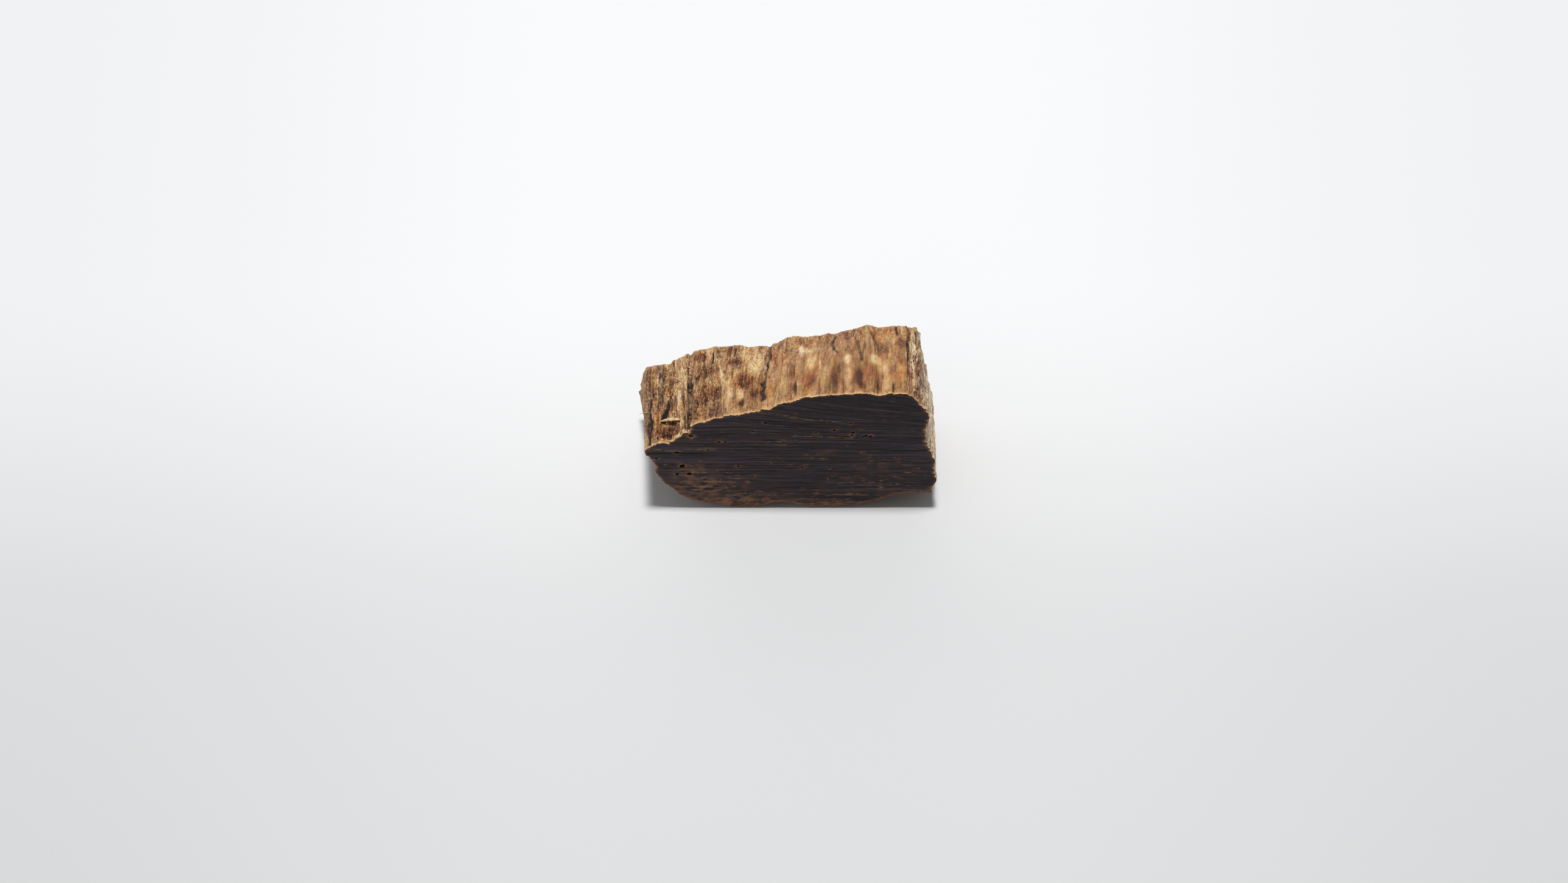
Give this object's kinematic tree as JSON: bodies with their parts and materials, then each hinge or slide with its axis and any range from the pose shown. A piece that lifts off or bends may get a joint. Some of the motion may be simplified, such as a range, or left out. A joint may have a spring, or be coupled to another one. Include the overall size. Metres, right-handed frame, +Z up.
{
  "type": "agarwood chip",
  "caption": "Small chip of resinous wood with sawn end-grain faces and a split fibrous edge, to look at, burn as incense or scatter as a prop.",
  "frame": {"origin": "middle of the bounding box, at the surface that the chip stands on", "axes": "+Z up, +Y along the grain from the near sawn face to the far one, +X to the chip's taller side"},
  "size_m": [0.0202, 0.007, 0.0154],
  "materials": {
    "agarwood": "unfinished resinous wood: near-black matt sawn faces, tan and brown split fibres round the edge"
  },
  "bodies": {
    "root": {"agarwood_chip": "agarwood"}
  },
  "joints": []
}
